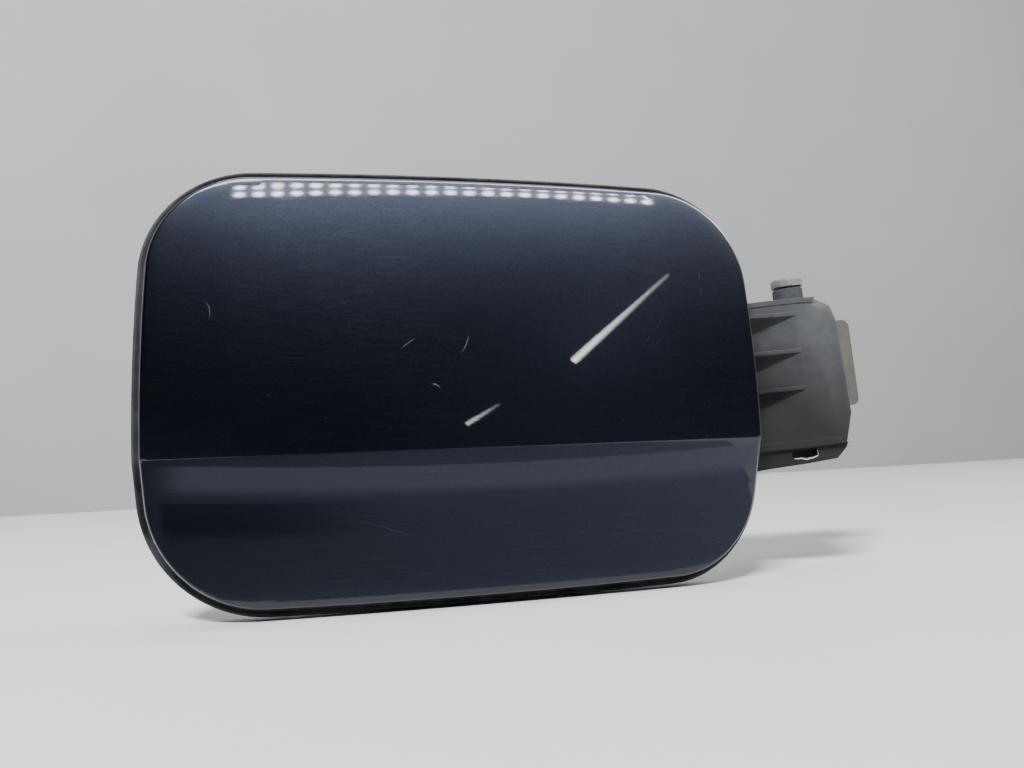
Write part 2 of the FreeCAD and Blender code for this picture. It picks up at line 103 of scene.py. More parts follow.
CREASE_Y = -49.5 * MM
CREASE_Z = -27.4 * MM
ARM_FRONT = -9.0 * MM
LIP_STEP = 1.1 * MM
TROUGH_START = -5.0 * MM
TROUGH_SLOPE = 4.2 / 15.0
SLOT_LEFT, SLOT_RIGHT = -11.0 * MM, -1.7 * MM
SLOT_BOTTOM = -34.9 * MM

skin_low, skin_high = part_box("outer_skin")
FLAP_X = (skin_low.x + skin_high.x) / 2
FLAP_MIDDLE_Z = (skin_low.z + skin_high.z) / 2
FLAP_WIDTH = skin_high.x - skin_low.x
FLAP_HEIGHT = skin_high.z - skin_low.z

# Camera, found from the photo
PICTURE = (1024, 768)
FOCAL = 769.0                  # pixels
SIDE_VANISH = (3934.0, 316.0)  # vanishing point of +X, pixels
CAMERA_LEAN = math.radians(5.0)
CREASE_PIXEL = (455.0, 449.6)  # a known point of the crease
CREASE_POINT = Vector((-121.2 * MM, CREASE_Y, CREASE_Z))
CREASE_DISTANCE = 236.7 * MM
SENSOR = 36.0                  # millimetres, as the camera states it
NEAR_CLIP = 0.01

# How finely the new pieces are cut
SKIN_SIDE_STEPS, SKIN_CORNER_STEPS = 90, 24
SEAL_SIDE_STEPS, SEAL_CORNER_STEPS = 60, 20
HEM_STEPS = 8
FACE_COLUMNS = 130
FACE_ROWS = 60                 # on each side of the crease
FACE_ROW_STEP = 1.6 * MM
FACE_ROW_START = 2.0 * MM
FACE_MARGIN = 0.7 * MM
CREASE_ROWS = (-1.0, -0.6, -0.3, 0.0, 0.3, 0.6, 1.0)
SLOPE_STEP = 0.3 * MM
NORMAL_STEP = 0.05 * MM
SEARCH_STEPS = 30
TRIANGLE_TOLERANCE = 1e-9
MERGE_DISTANCE = 1e-6
COIL_STEPS = 36                # per turn
WIRE_SIDES = 10
SHARP_ANGLE = math.radians(28.0)
SEAL_SHARP_ANGLE = math.radians(50.0)
FLAT_ANGLE = math.radians(1.0)
EDGE_SEGMENTS = 2
# Widths of rounded edges
EDGES = {"hinge_arm": 0.3 * MM, "hinge_bracket": 0.3 * MM, "hinge_pin": 0.2 * MM, "inner_panel": 0.25 * MM,
         "latch_striker": 0.4 * MM, "arm_screws": 0.15 * MM, "striker_screws": 0.15 * MM}

# Marks on the arm and on the paint
SCUFF_WIDTH = 0.3 * MM
SCUFF_PROUD = 0.004 * MM
SCUFF_STEPS = 8
TEAR_WIDTH = 0.35 * MM
TEAR_PROUD = 0.12 * MM
# Torn edge of the arm's window: share of its width, and millimetres above its lower edge
TEAR = ((0.05, 0.05), (0.2, -0.15), (0.33, -0.1), (0.42, -0.45), (0.55, -0.75), (0.64, -0.35),
        (0.75, -0.5), (0.88, -0.1), (1.0, 0.1), (1.04, 1.4), (1.0, 2.2))
# Chip on the pin's head: degrees round the pin, and millimetres above the head's lower edge
CHIP = ((-8, 0.1), (6, 0.45), (18, 0.95), (30, 0.75), (42, 1.05), (54, 0.6), (70, 0.15))
CHIP_HALF = 0.2                # millimetres
CHIP_SUNK, CHIP_PROUD = 0.995, 1.004

# Fine scratches: direction in degrees, waves per metre along and across, threshold, strength
SCRATCHES = ((8.0, 45.0, 2600.0, 0.70, 0.06), (-52.0, 60.0, 2200.0, 0.73, 0.14),
             (64.0, 70.0, 2000.0, 0.74, 0.14), (20.0, 30.0, 1500.0, 0.75, 0.12))

# Painted shade and dust on the arm, darker towards its lower left: direction, and where along it the dust
# starts over the painted shade and where it is full
ARM_SHADE_AND_DUST_FADE = ((0.45, 0.0, 0.8), -10.0 * MM, 19.0 * MM)
# Painted shade: darker and lighter colour of the arm towards its lower left, where the flap shades it
ARM_PAINTED_SHADE = ((0.010, 0.0107, 0.0125), (0.0155, 0.0167, 0.019))

# Faint scuffs on the paint, as pixels of the photo: start, place that it bends towards, end
SCUFFS = (((433, 386), (449, 372), (462, 350)), ((462, 352), (467, 345), (469, 335)),
          ((401, 349), (408, 342), (416, 338)), ((266, 395), (296, 402), (327, 419)),
          ((699, 272), (700, 282), (701, 294)), ((279, 288), (291, 301), (296, 321)),
          ((431, 384), (437, 383), (440, 388)), ((205, 301), (212, 309), (209, 318)),
          ((341, 299), (352, 311), (349, 327)), ((186, 330), (203, 345), (232, 352)))

# Corners of mirror images in the photo, as pixels: along one long side, then back along the other
ROWS_PIXELS = ((230, 199), (655, 206), (655, 187), (230, 176))
TUBE_PIXELS = ((569, 358), (667, 272), (670, 277), (577, 365))
SPOT_PIXELS = ((464, 422), (499, 402), (501, 406), (469, 427))
HAZE_PIXELS = ((120, 166), (900, 184), (940, 88), (90, 70))
BAND_PIXELS = ((146, 500), (790, 469), (790, 439), (146, 465))
SHADE_PIXELS = ((150, 548), (420, 538), (420, 499), (150, 504))

# Dim card that lies on the floor and shows only in mirror images
CARD_LEFT = -330.0 * MM
CARD_RIGHT = 30.0 * MM
CARD_BACK = -53.0 * MM
CARD_LIFT = 0.3 * MM
CARD_TINT = (0.97, 1.03, 1.25)
HAZE_TINT = (1.05, 1.0, 0.93)
WHITE = (1.0, 1.0, 1.0)
# How strongly the lamps and cards glow
ROWS_GLOW, TUBE_GLOW, SPOT_GLOW, HAZE_GLOW = 62.0, 36.0, 18.0, 29.0
BAND_GLOW, FLOOR_GLOW, SHADE_GLOW = 1.05, 0.42, 0.10

# Stage, in metres
STAGE_REACH = 3.0
WALL_DISTANCE = 0.62
WALL_TURN = math.radians(7.0)
LIGHT_DISTANCE = 0.9
CARD_DISTANCE = 0.045
LED_COLUMNS, LED_ROWS = 23.0, 3.0
FLOOR_COLOUR = (0.69, 0.69, 0.68)
WALL_COLOUR = (0.41, 0.41, 0.425)
FLOOR_ROUGHNESS, WALL_ROUGHNESS = 0.55, 0.7
ROOM_COLOUR = (0.6, 0.7, 1.0, 1.0)
ROOM_LEVELS = (0.02, 0.05)
ROOM_WAVES = 1.5
# Soft lamps: name, place, point they look at, size, watts, whether mirror images show them
SOFT_BOXES = (("front_top", (-0.62, -0.95, 1.15), (-0.1, 0.0, 0.0), (0.4, 0.2), 52.0, False),
              ("ceiling", (-0.1, 0.0, 1.9), (-0.1, 0.2, 0.0), (1.6, 0.8), 17.0, True),
              ("side", (1.3, -0.1, 0.9), (0.0, 0.0, 0.0), (0.5, 0.5), 9.0, True))


def camera_axes():
    """Right, down and forward of the camera, in the row frame."""
    right = Vector((SIDE_VANISH[0] - PICTURE[0] / 2, SIDE_VANISH[1] - PICTURE[1] / 2, FOCAL)).normalized()
    up = Vector((0, -1, 0))
    up = (up - right * up.dot(right)).normalized()
    away = up.cross(right)
    row_up = up * math.cos(CAMERA_LEAN) + away * math.sin(CAMERA_LEAN)
    row_in = row_up.cross(right)
    rows = Matrix((right, row_in, row_up)).transposed()
    return rows[0].copy(), rows[1].copy(), rows[2].copy()


RIGHT, DOWN, FORWARD = camera_axes()


def pixel_ray(px, py):
    """Direction through a pixel of the photo, with a depth of one."""
    return FORWARD + RIGHT * ((px - PICTURE[0] / 2) / FOCAL) + DOWN * ((py - PICTURE[1] / 2) / FOCAL)


CAMERA_PLACE = CREASE_POINT - pixel_ray(*CREASE_PIXEL) * CREASE_DISTANCE


def smooth_max(a, b, width):
    """The larger of two values, with a rounded change from one to the other."""
    h = max(width - abs(a - b), 0.0) / width
    return max(a, b) + h * h * width / 4


def depth_at(z):
    """Depth of the face behind the crease, at a height above it."""
    top_y = UPPER_RADIUS * math.cos(UPPER_LEAN)
    top_z = -UPPER_RADIUS * math.sin(UPPER_LEAN)
    upper = top_y - math.sqrt(UPPER_RADIUS ** 2 - (z - top_z) ** 2)
    low_y = -LOWER_RADIUS * math.cos(LOWER_SLOPE)
    low_z = -LOWER_RADIUS * math.sin(LOWER_SLOPE)
    lower = low_y + math.sqrt(LOWER_RADIUS ** 2 - (z - low_z) ** 2)
    if z > CREASE_REACH:
        return upper
    if z < -CREASE_REACH:
        return lower
    slope = math.tan(LOWER_SLOPE) + math.tan(UPPER_LEAN)
    return smooth_max(upper, lower, slope * CREASE_BLEND)


def face_y(x, z):
    """Place of the skin's front at a point of the row frame."""
    inner = BOW_RADIUS - depth_at(z - CREASE_Z)
    return CREASE_Y + BOW_RADIUS - math.sqrt(inner ** 2 - (x - FLAP_X) ** 2)


def face_normal(x, z):
    """Outward normal of the skin's front."""
    step = NORMAL_STEP
    dx = (face_y(x + step, z) - face_y(x - step, z)) / (2 * step)
    dz = (face_y(x, z + step) - face_y(x, z - step)) / (2 * step)
    return Vector((dx, -1.0, dz)).normalized()


def on_skin(px, py):
    """Point of the skin's front that a pixel of the photo shows."""
    ray = pixel_ray(px, py)
    depth = CREASE_DISTANCE
    for _ in range(SEARCH_STEPS):
        spot = CAMERA_PLACE + ray * depth
        depth -= (spot.y - face_y(spot.x, spot.z)) / ray.y
    return CAMERA_PLACE + ray * depth


def flap_outline(side_steps, corner_steps):
    """Points of the skin's outline with their outward directions, counter-clockwise seen from the front."""
    w, h = FLAP_WIDTH / 2, FLAP_HEIGHT / 2
    middle = Vector((FLAP_X, FLAP_MIDDLE_Z))
    arcs = []
    for out in (Vector((0, -1)), Vector((1, 0)), Vector((0, 1)), Vector((-1, 0))):
        reach, chord, crown = (w, h - LONG_CROWN, SHORT_CROWN) if out.x else (h, w - SHORT_CROWN, LONG_CROWN)
        radius = (chord ** 2 + crown ** 2) / (2 * crown)
        arcs.append((middle + out * (reach - radius), radius))
    rounds = []
    for i, corner in enumerate((Vector((w, -h)), Vector((w, h)), Vector((-w, h)), Vector((-w, -h)))):
        (c1, r1), (c2, r2) = arcs[i], arcs[(i + 1) % 4]
        d1, d2 = r1 - CORNER_RADII[i], r2 - CORNER_RADII[i]
        gap = c2 - c1
        along = (d1 ** 2 - d2 ** 2 + gap.length_squared) / (2 * gap.length)
        across = math.sqrt(d1 ** 2 - along ** 2)
        unit = gap.normalized()
        choices = [c1 + unit * along + Vector((-unit.y, unit.x)) * s * across for s in (1, -1)]
        rounds.append(min(choices, key=lambda p: (p - middle - corner).length))
    points = []

    def sweep(centre, radius, start, end, steps):
        a = math.atan2(start.y, start.x)
        turn = (math.atan2(end.y, end.x) - a + math.pi) % (2 * math.pi) - math.pi
        for k in range(steps):
            t = a + turn * k / steps
            out = Vector((math.cos(t), math.sin(t)))
            points.append((centre + out * radius, out))

    for i in range(4):
        centre, radius = arcs[i]
        before, after = rounds[i - 1], rounds[i]
        sweep(centre, radius, before - centre, after - centre, side_steps)
        following = arcs[(i + 1) % 4][0]
        sweep(after, CORNER_RADII[i], after - centre, after - following, corner_steps)
    return points


def new_object(name, vertices, faces, smooth=True):
    """Mesh object from points and faces."""
    mesh = bpy.data.meshes.new(name)
    mesh.from_pydata([tuple(v) for v in vertices], [], faces)
    mesh.update()
    if smooth:
        mesh.shade_smooth()
    made = bpy.data.objects.new(name, mesh)
    bpy.context.scene.collection.objects.link(made)
    return made


def ring_faces(rings, count, closed=False):
    """Quads between rings of equal count, numbered one after the other."""
    faces = []
    pairs = list(zip(rings, rings[1:] + rings[:1])) if closed else list(zip(rings, rings[1:]))
    for a, b in pairs:
        for k in range(count):
            n = (k + 1) % count
            faces.append((a + k, a + n, b + n, b + k))
    return faces


def build_skin():
    """Skin with a rounded, turned edge: fine triangles on the face, rings round the edge."""
    outline = flap_outline(SKIN_SIDE_STEPS, SKIN_CORNER_STEPS)
    count = len(outline)
    vertices, rings, starts = [], [], []
    for p, out in outline:
        inner = p - out * SLOPE_STEP
        slope = (face_y(*p) - face_y(*inner)) / SLOPE_STEP
        lean = math.sqrt(1 + slope * slope)
        starts.append((p, out, slope, lean))
    for k in range(HEM_STEPS + 1):
        rings.append(len(vertices))
        for p, out, slope, lean in starts:
            centre_y = face_y(*p) - slope * HEM_ROUND + HEM_ROUND * lean
            begin = math.atan2(slope / lean, 1 / lean)
            angle = begin + (math.pi / 2 - begin) * k / HEM_STEPS
            spot = p - out * HEM_ROUND + out * HEM_ROUND * math.sin(angle)
            vertices.append(Vector((spot.x, centre_y - HEM_ROUND * math.cos(angle), spot.y)))
    for inset, depth in ((0.0, HEM_DEPTH), (SKIN_WALL, HEM_DEPTH), (SKIN_WALL, SKIN_WALL)):
        rings.append(len(vertices))
        for p, out in outline:
            spot = p - out * inset
            vertices.append(Vector((spot.x, face_y(*p) + depth, spot.y)))
    faces = ring_faces(rings, count)
    flat = [Vector((v.x, v.z)) for v in vertices[:count]]
    edges = [(k, (k + 1) % count) for k in range(count)]
    inside = []
    heights = [CREASE_Z + CREASE_BLEND * row for row in CREASE_ROWS]
    for side in (-1, 1):
        heights += [CREASE_Z + side * (FACE_ROW_START + FACE_ROW_STEP * k) for k in range(FACE_ROWS)]
    margin = HEM_ROUND + FACE_MARGIN
    for z in heights:
        for k in range(FACE_COLUMNS + 1):
            x = FLAP_X + FLAP_WIDTH * (k / FACE_COLUMNS - 0.5)
            if within_outline(x, z, margin):
                inside.append(Vector((x, z)))
    result = delaunay_2d_cdt(flat + inside, edges, [list(range(count))], 1, TRIANGLE_TOLERANCE)
    places, triangles = result[0], result[2]
    number = {}
    for i, p in enumerate(places):
        if i < count:
            number[i] = i
        else:
            number[i] = len(vertices)
            vertices.append(Vector((p.x, face_y(p.x, p.y), p.y)))
    faces += [tuple(number[i] for i in triangle) for triangle in triangles]
    skin = new_object("outer_skin_fine", vertices, faces)
    work = bmesh.new()
    work.from_mesh(skin.data)
    bmesh.ops.recalc_face_normals(work, faces=work.faces)
    work.to_mesh(skin.data)
    work.free()
    skin.data.shade_smooth()
    return skin


def within_outline(x, z, margin):
    """True if a point lies inside the outline by a margin."""
    w, h = FLAP_WIDTH / 2 - margin, FLAP_HEIGHT / 2 - margin
    dx, dz = abs(x - FLAP_X), abs(z - FLAP_MIDDLE_Z)
    if dx > w - SHORT_CROWN * (dz / h) ** 2 or dz > h - LONG_CROWN * (dx / w) ** 2:
        return False
    lower_right, upper_right, upper_left, lower_left = CORNER_RADII
    upper, lower = (upper_right, lower_right) if x > FLAP_X else (upper_left, lower_left)
    reach = (upper if z > FLAP_MIDDLE_Z else lower) - margin
    cx, cz = dx - (w - SHORT_CROWN - reach), dz - (h - LONG_CROWN - reach)
    return not (cx > 0 and cz > 0 and math.hypot(cx, cz) > reach)


def build_seal():
    """Rubber edge: a groove beside the skin and a rounded bead outside it."""
    outline = flap_outline(SEAL_SIDE_STEPS, SEAL_CORNER_STEPS)
    count = len(outline)
    low, high, lip = SEAL_FRONT, SEAL_BACK, SEAL_LIP
    profile = [(SEAL_INNER, low), (0.5 * MM, low), (1.0 * MM, low + 0.5 * MM), (1.6 * MM, low + 0.75 * MM),
               (2.1 * MM, low + 0.45 * MM), (2.5 * MM, low + 0.08 * MM), (2.9 * MM, low),
               (3.2 * MM, low + 0.2 * MM), (lip, low + 0.7 * MM), (lip, high - 1.0 * MM),
               (3.0 * MM, high - 0.3 * MM), (2.4 * MM, high), (SEAL_INNER, high)]
    vertices, rings = [], []
    for reach, depth in profile:
        rings.append(len(vertices))
        for p, out in outline:
            spot = p + out * reach
            vertices.append(Vector((spot.x, face_y(*p) + depth, spot.y)))
    seal = new_object("edge_seal_fine", vertices, ring_faces(rings, count, closed=True))
    seal.data.set_sharp_from_angle(angle=SEAL_SHARP_ANGLE)
    return seal


def on_hinge(u, v, w):
    """Point of the hinge's own frame, with the pin along w, in the row frame."""
    c, s = math.cos(AXIS_LEAN), math.sin(AXIS_LEAN)
    return AXIS + Vector((u * c - w * s, v, u * s + w * c))


def build_spring():
    """Smooth spring: plate leg, coil, arm leg."""
    rise = COIL_PITCH / (2 * math.pi * COIL_RADIUS)
    along = math.hypot(1, rise)
    high = COIL_PITCH * COIL_TURNS
    total = int(COIL_TURNS * COIL_STEPS)
    line = [Vector((COIL_RADIUS, -PLATE_LEG / along, -PLATE_LEG * rise / along))]
    for k in range(total + 1):
        t = 2 * math.pi * COIL_TURNS * k / total
        line.append(Vector((COIL_RADIUS * math.cos(t), COIL_RADIUS * math.sin(t), high * k / total)))
    t = 2 * math.pi * COIL_TURNS
    way = Vector((-math.sin(t), math.cos(t), rise)) / along
    line.append(line[-1] + way * ARM_LEG)
    line = [on_hinge(-p.x, -p.y, p.z - high / 2) for p in line]
    vertices, rings = [], []
    for i, p in enumerate(line):
        way = (line[min(i + 1, len(line) - 1)] - line[max(i - 1, 0)]).normalized()
        across = way.cross(Vector((0, 0, 1))).normalized()
        up = across.cross(way)
        rings.append(len(vertices))
        for k in range(WIRE_SIDES):
            a = 2 * math.pi * k / WIRE_SIDES
            vertices.append(p + across * math.cos(a) * WIRE_RADIUS + up * math.sin(a) * WIRE_RADIUS)
    faces = ring_faces(rings, WIRE_SIDES)
    faces.append(tuple(range(WIRE_SIDES))[::-1])
    faces.append(tuple(range(rings[-1], rings[-1] + WIRE_SIDES)))
    return new_object("torsion_spring_fine", vertices, faces)


def fine_copy(node, edge, worn):
    """Copy of a CAD node with its flat faces joined and its edges rounded."""
    source = frame["nodes"][node]
    mesh = source.data.copy()
    copy = bpy.data.objects.new(node + "_fine", mesh)
    bpy.context.scene.collection.objects.link(copy)
    work = bmesh.new()
    work.from_mesh(mesh)
    bmesh.ops.remove_doubles(work, verts=work.verts, dist=MERGE_DISTANCE)
    bmesh.ops.dissolve_limit(work, angle_limit=FLAT_ANGLE, verts=work.verts, edges=work.edges)
    bmesh.ops.recalc_face_normals(work, faces=work.faces)
    work.to_mesh(mesh)
    work.free()
    mesh.shade_smooth()
    mesh.set_sharp_from_angle(angle=SHARP_ANGLE)
    rounding = copy.modifiers.new("rounded edges", "BEVEL")
    rounding.width = edge
    rounding.segments = EDGE_SEGMENTS
    rounding.limit_method = "ANGLE"
    rounding.angle_limit = SHARP_ANGLE
    rounding.harden_normals = True
    rounding.use_clamp_overlap = True
    # With worn set, rounded edges take the second material: on the arm a lighter one that paints an edge
    # highlight, with some dust
    rounding.material = 1 if worn else -1
    return copy


class Shader:
    """Small helper that builds a node material."""

    def __init__(self, name):
        self.material = bpy.data.materials.new(name)
        self.material.use_nodes = True
        self.nodes = self.material.node_tree.nodes
        self.links = self.material.node_tree.links
        self.nodes.clear()
        out = self.nodes.new("ShaderNodeOutputMaterial")
        self.base = self.nodes.new("ShaderNodeBsdfPrincipled")
        self.link(self.base.outputs[0], out.inputs["Surface"])
        self.place = self.nodes.new("ShaderNodeTexCoord").outputs["Object"]

    def link(self, a, b):
        self.links.new(a, b)

    def set(self, **values):
        """Constants on the main shader's sockets."""
        for name, value in values.items():
            self.base.inputs[name.replace("_", " ")].default_value = value

    def stretched(self, scale):
        """Place with each axis scaled."""
        node = self.nodes.new("ShaderNodeMapping")
        node.inputs["Scale"].default_value = scale
        self.link(self.place, node.inputs["Vector"])
        return node.outputs[0]

    def turned(self, angle, scale):
        """Place turned about Y by degrees, then with each axis scaled."""
        node = self.nodes.new("ShaderNodeMapping")
        node.vector_type = "TEXTURE"
        node.inputs["Rotation"].default_value = (0.0, math.radians(angle), 0.0)
        node.inputs["Scale"].default_value = tuple(1.0 / v for v in scale)
        self.link(self.place, node.inputs["Vector"])
        return node.outputs[0]

    def noise(self, scale, detail=3.0, rough=0.55, place=None):
        node = self.nodes.new("ShaderNodeTexNoise")
        node.inputs["Scale"].default_value = scale
        node.inputs["Detail"].default_value = detail
        node.inputs["Roughness"].default_value = rough
        self.link(place or self.place, node.inputs["Vector"])
        return node.outputs["Fac"]

    def cells(self, scale, output="Distance"):
        node = self.nodes.new("ShaderNodeTexVoronoi")
        node.inputs["Scale"].default_value = scale
        self.link(self.place, node.inputs["Vector"])
        return node.outputs[output]

    def ranged(self, value, low, high, to_low=0.0, to_high=1.0):
        node = self.nodes.new("ShaderNodeMapRange")
        node.inputs["From Min"].default_value = low
        node.inputs["From Max"].default_value = high
        node.inputs["To Min"].default_value = to_low
        node.inputs["To Max"].default_value = to_high
        self.link(value, node.inputs["Value"])
        return node.outputs[0]

    def math(self, kind, a, b):
        node = self.nodes.new("ShaderNodeMath")
        node.operation = kind
        for socket, value in zip(node.inputs, (a, b)):
            if isinstance(value, (int, float)):
                socket.default_value = value
            else:
                self.link(value, socket)
        return node.outputs[0]

    def mixed(self, factor, a, b):
        """Colour between two, each a colour or a socket."""
        node = self.nodes.new("ShaderNodeMix")
        node.data_type = "RGBA"
        self.link(factor, node.inputs[0])
        for socket, value in ((node.inputs[6], a), (node.inputs[7], b)):
            if isinstance(value, tuple):
                socket.default_value = (*value, 1.0)
            else:
                self.link(value, socket)
        return node.outputs[2]

    def facing_up(self):
        """How far a face looks up, from 0 to 1."""
        split = self.nodes.new("ShaderNodeSeparateXYZ")
        geometry = self.nodes.new("ShaderNodeNewGeometry")
        self.link(geometry.outputs["Normal"], split.inputs[0])
        return self.ranged(split.outputs["Z"], 0.1, 1.0)

    def bump(self, height, strength, distance):
        node = self.nodes.new("ShaderNodeBump")
        node.inputs["Strength"].default_value = strength
        node.inputs["Distance"].default_value = distance
        self.link(height, node.inputs["Height"])
        return node.outputs[0]

    def feed(self, name, value):
        self.link(value, self.base.inputs[name])


def car_paint():
    """Deep blue-black metallic paint under a scratched clear coat, with dust."""
    s = Shader("paint")
    s.set(Metallic=1.0, Roughness=0.30, Coat_Weight=1.0, Coat_IOR=1.47)
    flakes = s.ranged(s.cells(7000.0, output="Color"), 0.2, 0.9)
    deep = s.mixed(flakes, (0.010, 0.0125, 0.020), (0.024, 0.028, 0.044))
    streaks = s.noise(1.0, 4.0, 0.6, s.stretched((90.0, 90.0, 1700.0)))
    patches = s.noise(14.0, 3.0)
    film = s.math("MULTIPLY", s.ranged(streaks, 0.45, 0.75), s.ranged(patches, 0.35, 0.75))
    specks = s.math("LESS_THAN", s.cells(520.0), 0.045)
    shown = s.math("MULTIPLY", specks, s.ranged(s.noise(9.0, 2.0), 0.40, 0.60))
    marks = s.math("MULTIPLY", shown, 0.55)
    for turn, length, width, threshold, strength in SCRATCHES:
        waves = s.noise(1.0, 1.0, 0.5, s.turned(turn, (length, 1.0, width)))
        lines = s.ranged(waves, threshold, threshold + 0.04)
        where = s.ranged(s.noise(22.0, 2.0, 0.5, s.turned(turn * 3.0, (1.0, 1.0, 1.0))), 0.50, 0.64)
        faint = s.math("MULTIPLY", s.math("MULTIPLY", lines, where), strength)
        marks = s.math("MAXIMUM", marks, faint)
    colour = s.mixed(s.math("MULTIPLY", film, 0.10), deep, (0.16, 0.18, 0.22))
    s.feed("Base Color", s.mixed(marks, colour, (0.30, 0.31, 0.33)))
    s.feed("Coat Roughness", s.ranged(film, 0.0, 1.0, 0.015, 0.075))
    s.feed("Normal", s.bump(flakes, 0.05, 0.02 * MM))
    s.feed("Coat Normal", s.bump(streaks, 0.035, 0.03 * MM))
    return s.material


def dusty_plastic(name, dark, light, grain, rough, dust, fade):
    """Grained moulded plastic with a film of dust that lies thicker on faces that look up.

    fade is a direction and the places along it where the dust starts and is full; before the start the
    colour is a darker painted shade."""
    s = Shader(name)
    s.set(Specular_IOR_Level=0.18)
    cloud = s.noise(55.0, 5.0, 0.65)
    body = s.mixed(s.ranged(cloud, 0.3, 0.7), dark, light)
    lying = s.math("ADD", s.math("MULTIPLY", s.facing_up(), 0.6), 0.4)
    lying = s.math("MULTIPLY", lying, s.ranged(s.noise(240.0, 4.0), 0.35, 0.75))
    surface_colour = s.mixed(s.math("MULTIPLY", lying, dust), body, (0.33, 0.33, 0.32))
    if fade:
        way, start, full = fade
        along = s.nodes.new("ShaderNodeVectorMath")
        along.operation = "DOT_PRODUCT"
        s.link(s.place, along.inputs[0])
        along.inputs[1].default_value = way
        # Painted shade: the arm's darker colours towards its lower left, before the dust starts
        painted_shade = s.mixed(s.ranged(cloud, 0.3, 0.7), *ARM_PAINTED_SHADE)
        surface_colour = s.mixed(s.ranged(along.outputs["Value"], start, full), painted_shade, surface_colour)
    s.feed("Base Color", surface_colour)
    s.feed("Roughness", s.ranged(cloud, 0.3, 0.7, rough - 0.08, rough + 0.08))
    s.feed("Normal", s.bump(s.noise(grain, 4.0, 0.7), 0.35, 0.08 * MM))
    return s.material


def rubber(name, dark, light):
    """Matte rubber, greyer where it is worn."""
    s = Shader(name)
    s.set(Specular_IOR_Level=0.35)
    worn = s.ranged(s.noise(130.0, 4.0), 0.35, 0.7)
    s.feed("Base Color", s.mixed(worn, dark, light))
    s.feed("Roughness", s.ranged(worn, 0.0, 1.0, 0.55, 0.75))
    s.feed("Normal", s.bump(s.noise(2600.0, 2.0), 0.2, 0.04 * MM))
    return s.material


def worn_metal(name, colour, stain, metallic, rough):
    """Plated or coated steel with stains and fine scratches."""
    s = Shader(name)
    s.set(Metallic=metallic)
    stains = s.ranged(s.noise(160.0, 5.0, 0.65), 0.4, 0.7)
    s.feed("Base Color", s.mixed(stains, colour, stain))
    s.feed("Roughness", s.ranged(s.noise(500.0, 3.0), 0.3, 0.7, rough - 0.1, rough + 0.1))
    s.feed("Normal", s.bump(s.noise(900.0, 3.0), 0.15, 0.03 * MM))
    return s.material


# Plastics: darker and lighter colour, grain in waves per metre, roughness, dust, fade from painted shade to
# dust
PLASTICS = {
    "panel_plastic": ((0.018, 0.018, 0.019), (0.03, 0.03, 0.031), 1800.0, 0.6, 0.10, None),
    "arm_plastic": ((0.034, 0.037, 0.043), (0.050, 0.055, 0.062), 1500.0, 0.62, 0.16, ARM_SHADE_AND_DUST_FADE),
    # Lighter rounded edges of the arm: painted edge highlight, with some dust
    "arm_edge_highlight_and_dust": ((0.10, 0.103, 0.105), (0.15, 0.153, 0.153), 1500.0, 0.66, 0.25, ARM_SHADE_AND_DUST_FADE),
    "stress_white": ((0.55, 0.55, 0.54), (0.72, 0.72, 0.7), 2400.0, 0.7, 0.05, None),
    "striker_plastic": ((0.03, 0.03, 0.031), (0.05, 0.05, 0.05), 2000.0, 0.5, 0.1, None),
    "bush_plastic": ((0.52, 0.5, 0.44), (0.6, 0.58, 0.52), 2400.0, 0.45, 0.08, None),
    "washer_plastic": ((0.015, 0.015, 0.015), (0.025, 0.025, 0.025), 2400.0, 0.5, 0.05, None),
    "scuffed_paint": ((0.030, 0.033, 0.040), (0.07, 0.074, 0.082), 2400.0, 0.5, 0.05, None),
}
# Rubbers: colour, and colour where worn
RUBBERS = {
    "seal_rubber": ((0.012, 0.012, 0.014), (0.045, 0.046, 0.05)),
    "stop_rubber": ((0.015, 0.015, 0.015), (0.035, 0.035, 0.035)),
}
# Metals: colour, stain, share of bare metal, roughness
METALS = {
    "screw_steel": ((0.55, 0.54, 0.5), (0.36, 0.34, 0.29), 1.0, 0.38),
    "bracket_steel": ((0.054, 0.054, 0.048), (0.076, 0.075, 0.067), 0.15, 0.65),
    "pin_coated": ((0.12, 0.127, 0.132), (0.17, 0.176, 0.180), 0.1, 0.6),
    "spring_steel": ((0.34, 0.34, 0.34), (0.2, 0.19, 0.18), 1.0, 0.35),
}
materials = {"paint": car_paint()}
for make, table in ((dusty_plastic, PLASTICS), (rubber, RUBBERS), (worn_metal, METALS)):
    for name, values in table.items():
        materials[name] = make(name, *values)


def finish_piece(piece, slot_name):
    """Give a piece its material and slot."""
    piece.data.materials.clear()
    piece.data.materials.append(materials[slot_name])


slots = {part["node"]: part["material_slot"] for part in frame["record"]["subparts"]}
bodies = {node: body for body, members in frame["record"]["behaviour"]["bodies"].items() for node in members}
for node, piece in frame["nodes"].items():
    piece.data.materials.clear()
    piece.data.materials.append(materials[slots[node]])

for build, node in ((build_skin, "outer_skin"), (build_seal, "edge_seal")):
    piece = build()
    finish_piece(piece, slots[node])
    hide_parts(node)
    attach(piece, bodies[node])

for node, edge in EDGES.items():
    # The arm's rounded edges get a lighter material that paints an edge highlight, with some dust
    worn = node == "hinge_arm"
    piece = fine_copy(node, edge, worn)
    finish_piece(piece, slots[node])
    if worn:
        piece.data.materials.append(materials["arm_edge_highlight_and_dust"])
    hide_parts(node)
    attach(piece, bodies[node])


def lip_face(u):
    """Depth of the lip's front at a place along it."""
    return ARM_FRONT + LIP_STEP + max(TROUGH_START - u, 0.0) * TROUGH_SLOPE


def strip_faces(count):
    """Quads of a raised strip with three points at each of its stations."""
    corners = [3 * k + side for k in range(count - 1) for side in (0, 1)]
    return [(a, a + 1, a + 4, a + 3) for a in corners]


